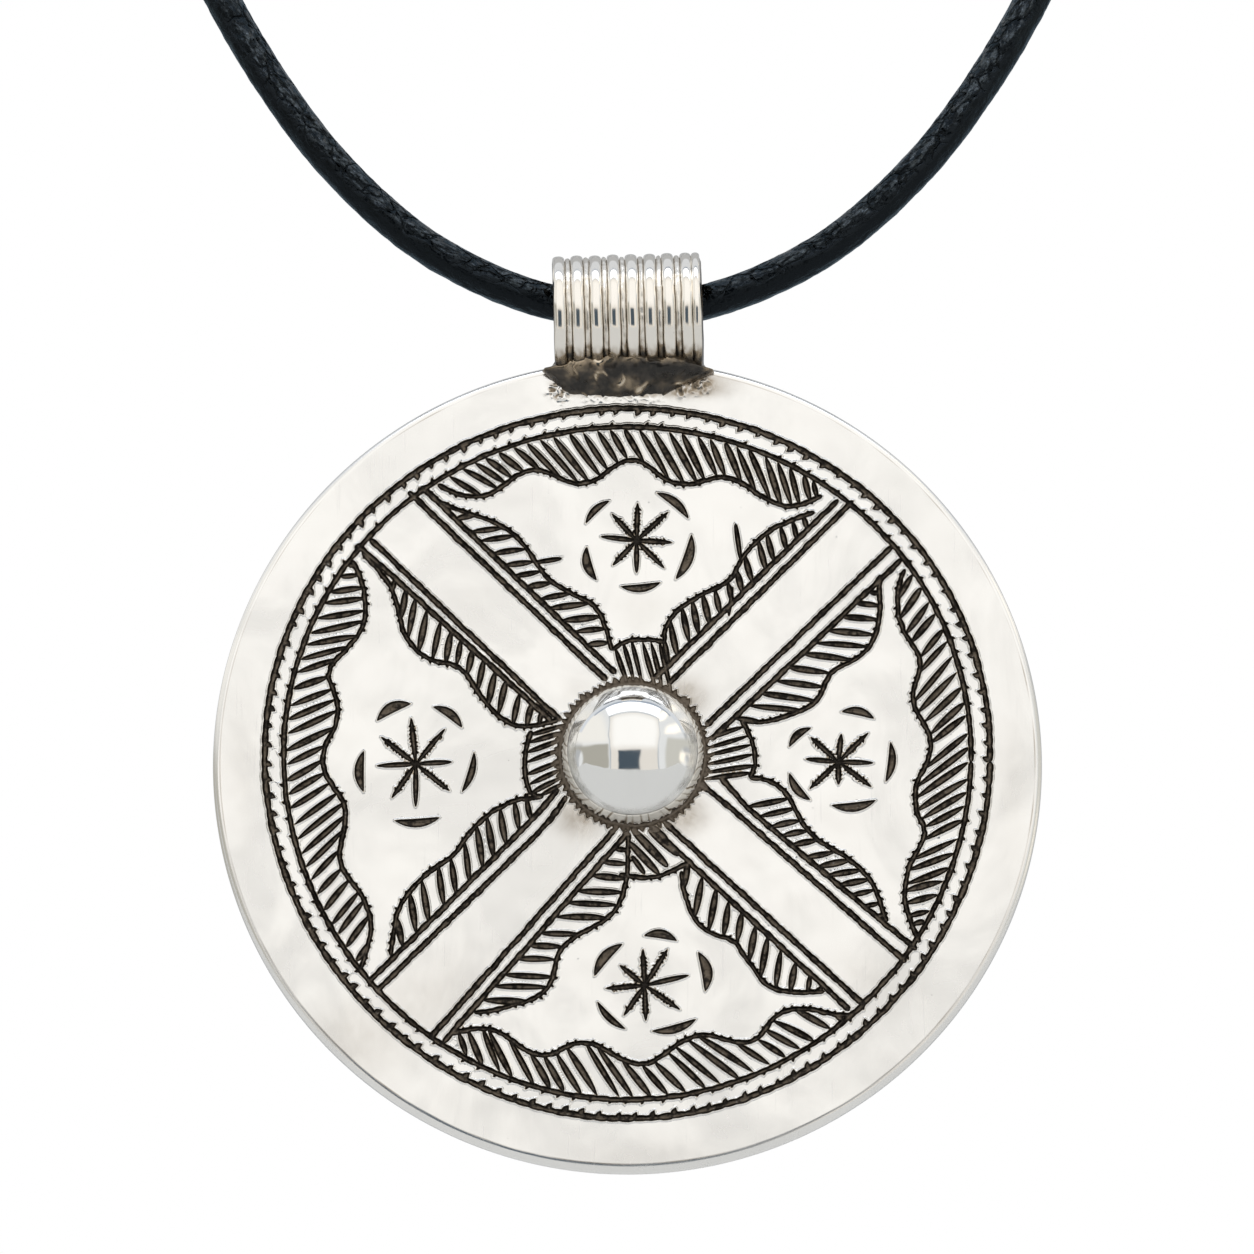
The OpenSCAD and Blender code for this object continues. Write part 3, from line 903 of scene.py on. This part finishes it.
# Patina at each point: the soft patches, which are partly painted shade, the solder splashes, and a darker
# rounded edge all round
for vert, d, into, st, sp in zip(face_verts, depth, inward, darkening, splash):
    spot = Vector((vert.co.x, vert.co.y, 0))
    wavy = 0.022 * noise(spot * 0.22) + 0.008 * noise(spot * 0.7 + Vector((9, 3, 0)))
    vert.co.z += wavy - d * (1 + 0.12 * noise(spot * 6))
    mottle = noise(spot * 1.6) * 0.5 + noise(spot * 7.0) * 0.5
    tarnish_and_shade = st * (1 + 0.22 * mottle)
    if sp > 0.03:
        ridge = max(0.0, 1 - abs(noise(spot * 2.3)) * 5)
        vert.co.z += sp * (0.16 * ridge + 0.1 * noise(spot * 5.0))
        tarnish_and_shade += sp * (0.75 * (1 - ridge) + 0.6 * noise(spot * 3.1)) - 0.25 * sp
    if vert.co.length > 27.97:
        tarnish_and_shade += 0.16 + 0.2 * noise(spot * 0.4)
    if into > 0 and math.hypot(vert.co.x - BOSS_AT[0], vert.co.y - BOSS_AT[1]) < BOSS_RING + 0.62:
        tarnish_and_shade = 0.6
    vert[patina_layer] = clamp(tarnish_and_shade)
    vert[inward_layer] = into

place_disc = (Matrix.Translation(Vector((0, HANG_Y + DISC_BACK, HANG_Z - DISC_DROP)) * MM)
              @ Matrix.Rotation(math.radians(90), 4, "X") @ Matrix.Scale(MM, 4))

# Blackening is left in the cuts: black along their walls, and lighter and browner in the middle, which
# is partly the blackening's colour and partly painted reflection off the cut's floor, with painted
# glints in it. A raised lip runs along each edge. The attribute "cut" is the distance in millimetres
# from the edge into the cut.
CUT_WALL = (0.0155, 0.012, 0.009)
CUT_FLOOR_AND_SHEEN = (0.15, 0.122, 0.093)
CUT_GLINT = (0.27, 0.265, 0.26)
CUT_WORN = (0.2, 0.165, 0.13)
CUT_FRINGE = (0.56, 0.475, 0.37)
engraved = silver_finish("engraved_silver", (0.975, 0.967, 0.952), roughness=0.19, streaks=0.05, pits=0.6,
                         relief=0.00006)
tree = engraved.node_tree
skin = tree.nodes["Principled BSDF"].inputs
place = tree.nodes.new("ShaderNodeTexCoord").outputs["Object"]
into_cut = attribute(tree, "cut")
ragged = times(minus(cloudy(place, 6500, Detail=2.0), 0.5), 0.06)
into = plus(into_cut, ragged)
smut = soft_step(cloudy(place, 2200, Detail=3.0, Roughness=0.6), 0.36, 0.58)
# The lighter middle of each cut is partly painted reflection, and its glints are painted glints
middle = times(soft_step(into, 0.07, 0.17), smut)
glint = times(soft_step(cloudy(place, 5200, Detail=2.0), 0.64, 0.72), middle)
worn = soft_step(attribute(tree, "patina"), 0.3, 0.58)
cut_colour = blend_colour(middle, CUT_WALL, CUT_FLOOR_AND_SHEEN)
cut_colour = blend_colour(glint, cut_colour, CUT_GLINT)
cut_colour = blend_colour(worn, cut_colour, CUT_WORN)
in_cut = soft_step(into, -0.016, 0.012)
bare = {}
for name in ("Base Color", "Metallic", "Roughness", "Normal"):
    bare[name] = skin[name].links[0].from_socket
fringed = blend_colour(soft_step(into, -0.05, -0.012), bare["Base Color"], CUT_FRINGE)
feed(skin["Base Color"], blend_colour(in_cut, fringed, cut_colour))
less_metal = minus(1.0, times(in_cut, 0.3))
feed(skin["Metallic"], times(bare["Metallic"], less_metal))
feed(skin["Roughness"], plus(bare["Roughness"], times(in_cut, 0.16)))
lip = times(soft_step(into_cut, -0.16, -0.04), 0.8)
lip = minus(lip, soft_step(into_cut, -0.035, 0.08))
feed(skin["Normal"], bump(lip, 1.0, 0.00011, bare["Normal"]))


# A part of the disc is a copy without the other faces, its open edge turned down and closed underneath
def disc_part(name, belongs, floor_z):
    part = disc_bm.copy()
    drop = [f for f in part.faces if not belongs(f.calc_center_median())]
    bmesh.ops.delete(part, geom=drop, context="FACES")
    rim = [e for e in part.edges if e.is_boundary]
    for edge in rim:
        edge.smooth = False
    walls = bmesh.ops.extrude_edge_only(part, edges=rim)["geom"]
    low = [g for g in walls if isinstance(g, bmesh.types.BMVert)]
    for vert in low:
        vert.co.z = floor_z
    bottom = [g for g in walls if isinstance(g, bmesh.types.BMEdge)]
    for edge in bottom:
        edge.smooth = False
    bmesh.ops.holes_fill(part, edges=bottom, sides=0)
    bmesh.ops.recalc_face_normals(part, faces=part.faces)
    part.transform(place_disc)
    piece = make_piece(name, part, engraved)
    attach(piece, "pendant")
    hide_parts("pendant")


SPLIT_R = 23.4
SPLIT_Z = FACE - 0.6
disc_part("disc_border", lambda c: math.hypot(c.x, c.y) > SPLIT_R or c.z < SPLIT_Z, 0.0)
for turn, name in enumerate(("right", "top", "left", "bottom")):
    disc_part(
        "disc_field_" + name,
        lambda c, turn=turn: math.hypot(c.x, c.y) < SPLIT_R and c.z > SPLIT_Z
        and int(((math.degrees(math.atan2(c.y, c.x)) + 45) % 360) // 90) == turn,
        0.02,
    )
disc_bm.free()

# The boss is a domed silver cap polished to a mirror, and the bezel under it a sloping silver band
# that holds it, marked all round with slanting cuts of the chisel. Both are soldered to the face.
BEZEL_H = 1.2
DOME_FOOT = 4.5
DOME_RISE = 2.5
dome_r = (DOME_FOOT ** 2 + DOME_RISE ** 2) / (2 * DOME_RISE)

dome_bm = bmesh.new()
matt_layer = dome_bm.verts.layers.float.new("matt")
tilt = math.asin(DOME_FOOT / dome_r)
dome_profile = [(dome_r * math.sin(a), FACE + BEZEL_H + DOME_RISE - dome_r + dome_r * math.cos(a))
                for a in np.linspace(0, tilt, 40)]
dome_profile += [(DOME_FOOT - 0.05, FACE + BEZEL_H - 0.15), (0, FACE + BEZEL_H - 0.15)]
turned(dome_bm, dome_profile, ABOUT_Z, steps=128)
for vert in dome_bm.verts:
    foot = clamp((math.hypot(vert.co.x, vert.co.y) / DOME_FOOT - 0.8) / 0.2)
    vert[matt_layer] = 0.3 * foot * foot
    if vert.co.z > FACE + BEZEL_H - 0.1:
        spot = Vector((vert.co.x, vert.co.y, vert.co.z))
        vert.co += vert.co.normalized() * (0.018 * noise(spot * 0.45) + 0.003 * noise(spot * 1.6))
boss_place = place_disc @ Matrix.Translation((*BOSS_AT, 0))
dome_bm.transform(boss_place)
mirror = silver_finish("mirror_silver", (0.94, 0.94, 0.93), roughness=0.03, streaks=0.02, pits=0.25,
                       relief=0.00002)
boss = make_piece("boss_dome", dome_bm, mirror)
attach(boss, "pendant")
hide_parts("pendant")

bezel_bm = bmesh.new()
bezel_profile = [(DOME_FOOT - 0.6, FACE - 0.1), (DOME_FOOT - 0.6, FACE + BEZEL_H - 0.12)]
bezel_profile += [(DOME_FOOT - 0.1, FACE + BEZEL_H - 0.02), (DOME_FOOT + 0.04, FACE + BEZEL_H - 0.04)]
bezel_profile += [(DOME_FOOT + 0.06 + 0.38 * s, FACE + BEZEL_H * (1 - s) - 0.05 + 0.2 * s * (1 - s))
                  for s in np.linspace(0.06, 1, 14)]
bezel_profile += [(4.9, FACE - 0.15), (DOME_FOOT - 0.6, FACE - 0.15)]
turned(bezel_bm, bezel_profile, ABOUT_Z, steps=480)
patina_layer = bezel_bm.verts.layers.float.new("patina")
NOTCHES = 46
for vert in bezel_bm.verts:
    radius = math.hypot(vert.co.x, vert.co.y)
    if radius < DOME_FOOT + 0.02 or vert.co.z < FACE - 0.12:
        continue
    turn = math.atan2(vert.co.y, vert.co.x)
    fall = (FACE + BEZEL_H - vert.co.z) / BEZEL_H
    around = Vector((math.cos(turn), math.sin(turn), 0))
    wander = 1.1 * noise(around * 5) + 0.5 * fall * noise(around * 17)
    phase = turn * NOTCHES / (2 * math.pi) - 1.5 * fall * math.cos(turn) + wander
    line = max(0.0, 1 - abs((phase % 1) - 0.5) * 4.6) * (0.35 + 0.65 * fall)
    line *= max(0.0, 0.8 + 1.1 * noise(Vector((math.floor(phase) * 3.7, 0, 0))))
    tooth = abs((turn * TEETH / (2 * math.pi) + 0.6 * noise(around * 5)) % 1 - 0.5) * 2
    bite = tooth * max(0.0, fall - 0.6) / 0.4
    shrink = 1 - 0.02 * line - 0.03 * bite
    vert.co.x *= shrink
    vert.co.y *= shrink
    edge = max(0.0, fall - 0.86 - 0.12 * (1 - tooth)) / 0.08
    vert[patina_layer] = clamp(0.03 + 0.85 * line + edge)
bezel_bm.transform(boss_place)
bright = silver_finish("bezel_silver", (0.96, 0.93, 0.87), roughness=0.36, streaks=0.05, pits=0.3,
                       relief=0.00004, metal=0.35)
bezel = make_piece("boss_bezel", bezel_bm, bright)
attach(bezel, "pendant")
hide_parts("pendant")

# The bail is a short open tube of silver, wound with eight broad half-round wires, seven thin ones
# between them and a narrower last one at the right end. All are soldered together and polished, so
# that tarnish stays only in the joints.
BAIL_LEFT, BAIL_RIGHT = -5.12, 5.2
TUBE_R = 3.7
BORE_R = 2.5
BROAD_PITCH = 1.257
BROAD_AT = [*(-4.68 + BROAD_PITCH * k for k in range(8)), 4.8]
BROAD_HALF = [*[0.42] * 7, 0.39, 0.3]
JOINT_R = 4.0
BROAD_RISE = 0.37
THIN_RISE = 0.2

bail_bm = bmesh.new()
outline = [(BAIL_LEFT, TUBE_R - 0.3), (BAIL_LEFT, JOINT_R - 0.2)]
for k, (x, half) in enumerate(zip(BROAD_AT, BROAD_HALF)):
    for a in np.linspace(-1, 1, 13) * math.pi / 2:
        outline.append((x + half * math.sin(a), JOINT_R + BROAD_RISE * math.cos(a) ** 0.52))
    if k < len(BROAD_AT) - 2:
        left, right = x + half, BROAD_AT[k + 1] - BROAD_HALF[k + 1]
        middle, thin = (left + right) / 2, (right - left) / 2 - 0.03
        for a in np.linspace(-1, 1, 9) * math.pi / 2:
            outline.append((middle + thin * math.sin(a), JOINT_R + 0.01 + THIN_RISE * math.cos(a) ** 0.7))
outline += [(BAIL_RIGHT, TUBE_R), (BAIL_RIGHT, BORE_R + 0.15), (BAIL_RIGHT - 0.15, BORE_R), (0, BORE_R)]
outline += [(BAIL_LEFT + 0.15, BORE_R), (BAIL_LEFT, BORE_R + 0.15), outline[0]]
turned(bail_bm, [(x, -r) for x, r in outline], ABOUT_X, steps=160)
patina_layer = bail_bm.verts.layers.float.new("patina")
matt_layer = bail_bm.verts.layers.float.new("matt")


def round_spot(along, turn, size):
    return Vector((along, math.cos(turn) * size, math.sin(turn) * size))


for vert in bail_bm.verts:
    radius = math.hypot(vert.co.y, vert.co.z)
    turn = math.atan2(vert.co.z, -vert.co.y)
    if radius < BORE_R + 0.2:
        vert[patina_layer] = 0.5
        continue
    nearest = min(range(len(BROAD_AT)), key=lambda k: abs(vert.co.x - BROAD_AT[k]) - BROAD_HALF[k])
    broad = abs(vert.co.x - BROAD_AT[nearest]) < BROAD_HALF[nearest] + 0.01
    wander = round_spot(vert.co.x * (0.2 if broad else 1.3), turn, 1.6)
    swell = noise(wander + Vector((nearest * 5.1, 0, 0)))
    ripple = noise(round_spot(vert.co.x * 2, turn, 9))
    blob = 0.0 if broad or nearest % 3 == 1 else math.exp(-((turn - 0.22) / 0.1) ** 2)
    grow = (0.03 * swell if broad else 0.05 * swell + 0.06 * ripple + 0.14 * blob) / radius
    vert.co.y *= 1 + grow
    vert.co.z *= 1 + grow
    vert.co.x += 0.05 * noise(round_spot(nearest * 3.3, turn, 2.2))
    low = clamp((JOINT_R + (0.14 if broad else 0.05) - radius) / 0.1)
    under = clamp((-math.sin(turn) - 0.1) / 0.7)
    foot = min(1.2, max(0.0, -math.sin(turn) - 0.6) / 0.2)
    mottle = 0.5 + noise(round_spot(vert.co.x * 4, turn, 10))
    darkening = low * (0.62 + 0.3 * under) + (0.0 if broad else 0.05 + (0.1 + 0.22 * under) * mottle)
    darkening += 0.03 * under + foot * (0.14 + 0.3 * mottle) + 0.22 * foot ** 3
    vert[patina_layer] = clamp(darkening)
    vert[matt_layer] = 0.0 if broad else 0.14
BAIL_TILT = math.radians(-1.6)
bail_bm.transform(at_bail @ Matrix.Rotation(BAIL_TILT, 4, "Y") @ Matrix.Scale(MM, 4))
wound = silver_finish("bail_silver", (0.96, 0.925, 0.87), roughness=0.07, streaks=0.05, pits=0.4,
                      relief=0.00004)
bail = make_piece("bail", bail_bm, wound)
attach(bail, "pendant")
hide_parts("pendant")

# The solder seam is a lumpy run of silver solder that floods the corner between the bail and the
# top of the disc, never cleaned, so it is black and brown, with a thin flare along the disc's edge.
seam_bm = bmesh.new()
SEAM_HALF = 6.2
turned(seam_bm, [(x, -1.0) for x in np.linspace(-SEAM_HALF, SEAM_HALF, 150)], ABOUT_X, steps=96)
bmesh.ops.holes_fill(seam_bm, edges=[e for e in seam_bm.edges if e.is_boundary], sides=0)
bmesh.ops.recalc_face_normals(seam_bm, faces=seam_bm.faces)
patina_layer = seam_bm.verts.layers.float.new("patina")

# Height of the run's top and foot, and its reach to each side and its thickness at shares of the fall
SEAM_TOP, SEAM_LOW = -2.6, -5.95
SEAM_FALL = (0, 0.26, 0.36, 0.42, 0.54, 0.66, 0.8, 0.95, 1)
SEAM_LEFT = (4.7, 4.95, 5.35, 6.0, 5.5, 5.0, 4.6, 4.1, 3.4)
SEAM_RIGHT = (4.8, 5.05, 5.5, 6.2, 5.3, 4.2, 3.1, 2.2, 1.6)
SEAM_THICK = (2.4, 2.7, 2.5, 2.35, 2.1, 1.75, 1.35, 1.02, 0.8)
# Bulges of the run: across, share of the fall, half width, half height, swell and bareness
SEAM_BULGES = [(2.6, 0.46, 1.5, 0.17, 0.34, -0.1), (-0.4, 0.78, 1.9, 0.15, 0.3, 0.14),
               (-3.5, 0.5, 1.0, 0.14, 0.26, 0.3), (-1.2, 0.5, 1.3, 0.13, 0.18, 0.0)]
for vert in seam_bm.verts:
    share = vert.co.x / SEAM_HALF
    turn = math.atan2(vert.co.z, -vert.co.y)
    up, front = math.sin(turn), math.cos(turn)
    z = (SEAM_TOP + SEAM_LOW) / 2 + (SEAM_TOP - SEAM_LOW) / 2 * (abs(up) ** 0.8) * math.copysign(1, up)
    fall = (SEAM_TOP - z) / (SEAM_TOP - SEAM_LOW)
    reach = float(np.interp(fall, SEAM_FALL, SEAM_LEFT if share < 0 else SEAM_RIGHT))
    end = math.sqrt(max(0.0, 1 - abs(share) ** 5))
    thick = float(np.interp(fall, SEAM_FALL, SEAM_THICK))
    if front < 0:
        thick = min(thick, 2.3 - 1.5 * fall)
    y = DISC_BACK - math.copysign(min(1.0, abs(front) ** 0.6), front) * (1.0 + (thick - 1.0) * end)
    spot = Vector((share * reach, y, z - 0.1 * share * share))
    fold = max(0.0, 1 - abs(noise(spot * 0.65 + Vector((7, 0, 0)))) * 10)
    lump = noise(spot * 0.6) * 0.26 + noise(spot * 1.7) * 0.13 + noise(spot * 5.0) * 0.012
    lump += 0.13 * fold
    bare = 0.0
    for x, low, wide, tall, swell, bareness in SEAM_BULGES:
        near = math.exp(-((spot.x - x) / wide) ** 2 - ((fall - low) / tall) ** 2) if front > 0 else 0.0
        lump += swell * near
        bare += bareness * near
    away = Vector((0, y - DISC_BACK, (z + 4.3) * 0.4)).normalized()
    vert.co = spot + away * lump
    mottle = noise(spot * 0.9 + Vector((4, 0, 0))) + 0.3 * noise(spot * 2.6)
    worn = 0.8 * fold * clamp(2.0 * noise(spot * 1.2 + Vector((2, 2, 2))))
    top = clamp((0.47 - fall) / 0.14)
    ends = max(0.0, abs(spot.x) - 3.9) / 1.6
    soot = 0.93 + 0.36 * mottle - worn - bare - 0.36 * top - 0.2 * ends
    vert[patina_layer] = clamp(soot, 0.15)
seam_bm.transform(at_bail @ Matrix.Scale(MM, 4))
burnt = silver_finish("burnt_solder", (0.80, 0.71, 0.58), roughness=0.03, streaks=0.1, pits=0.3,
                      relief=0.00003)
seam = make_piece("solder_seam", seam_bm, burnt)
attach(seam, "pendant")
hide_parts("pendant")

# The clasp is a plain satin silver barrel at the nape, bored from both ends. The cord's two ends are
# glued into it, and its ends are rolled over to small beads.
CLASP_AT = (0, 59, 0)
clasp_bm = bmesh.new()
barrel = [(2.0, 0.0), (2.0, 1.45), (6.7, 1.45), (6.95, 1.6), (7.0, 1.9), (6.95, 2.2), (6.75, 2.42)]
barrel += [(6.45, 2.48), (6.15, 2.4), (6.0, 2.25), (5.85, 2.3), (5.4, 2.42), (2.5, 2.47), (0.15, 2.48)]
barrel += [(0.06, 2.44), (0.0, 2.4)]
barrel += [(-x, r) for x, r in reversed(barrel[:-1])]
turned(clasp_bm, [(x, -r) for x, r in barrel], ABOUT_X, steps=72)
clasp_bm.transform(Matrix.Translation(Vector(CLASP_AT) * MM) @ Matrix.Scale(MM, 4))
satin = silver_finish("satin_silver", (0.84, 0.83, 0.81), roughness=0.3, streaks=0.12, pits=0.6,
                      relief=0.00005)
clasp = make_piece("clasp_barrel", clasp_bm, satin)
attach(clasp, "cord")
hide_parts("clasp")
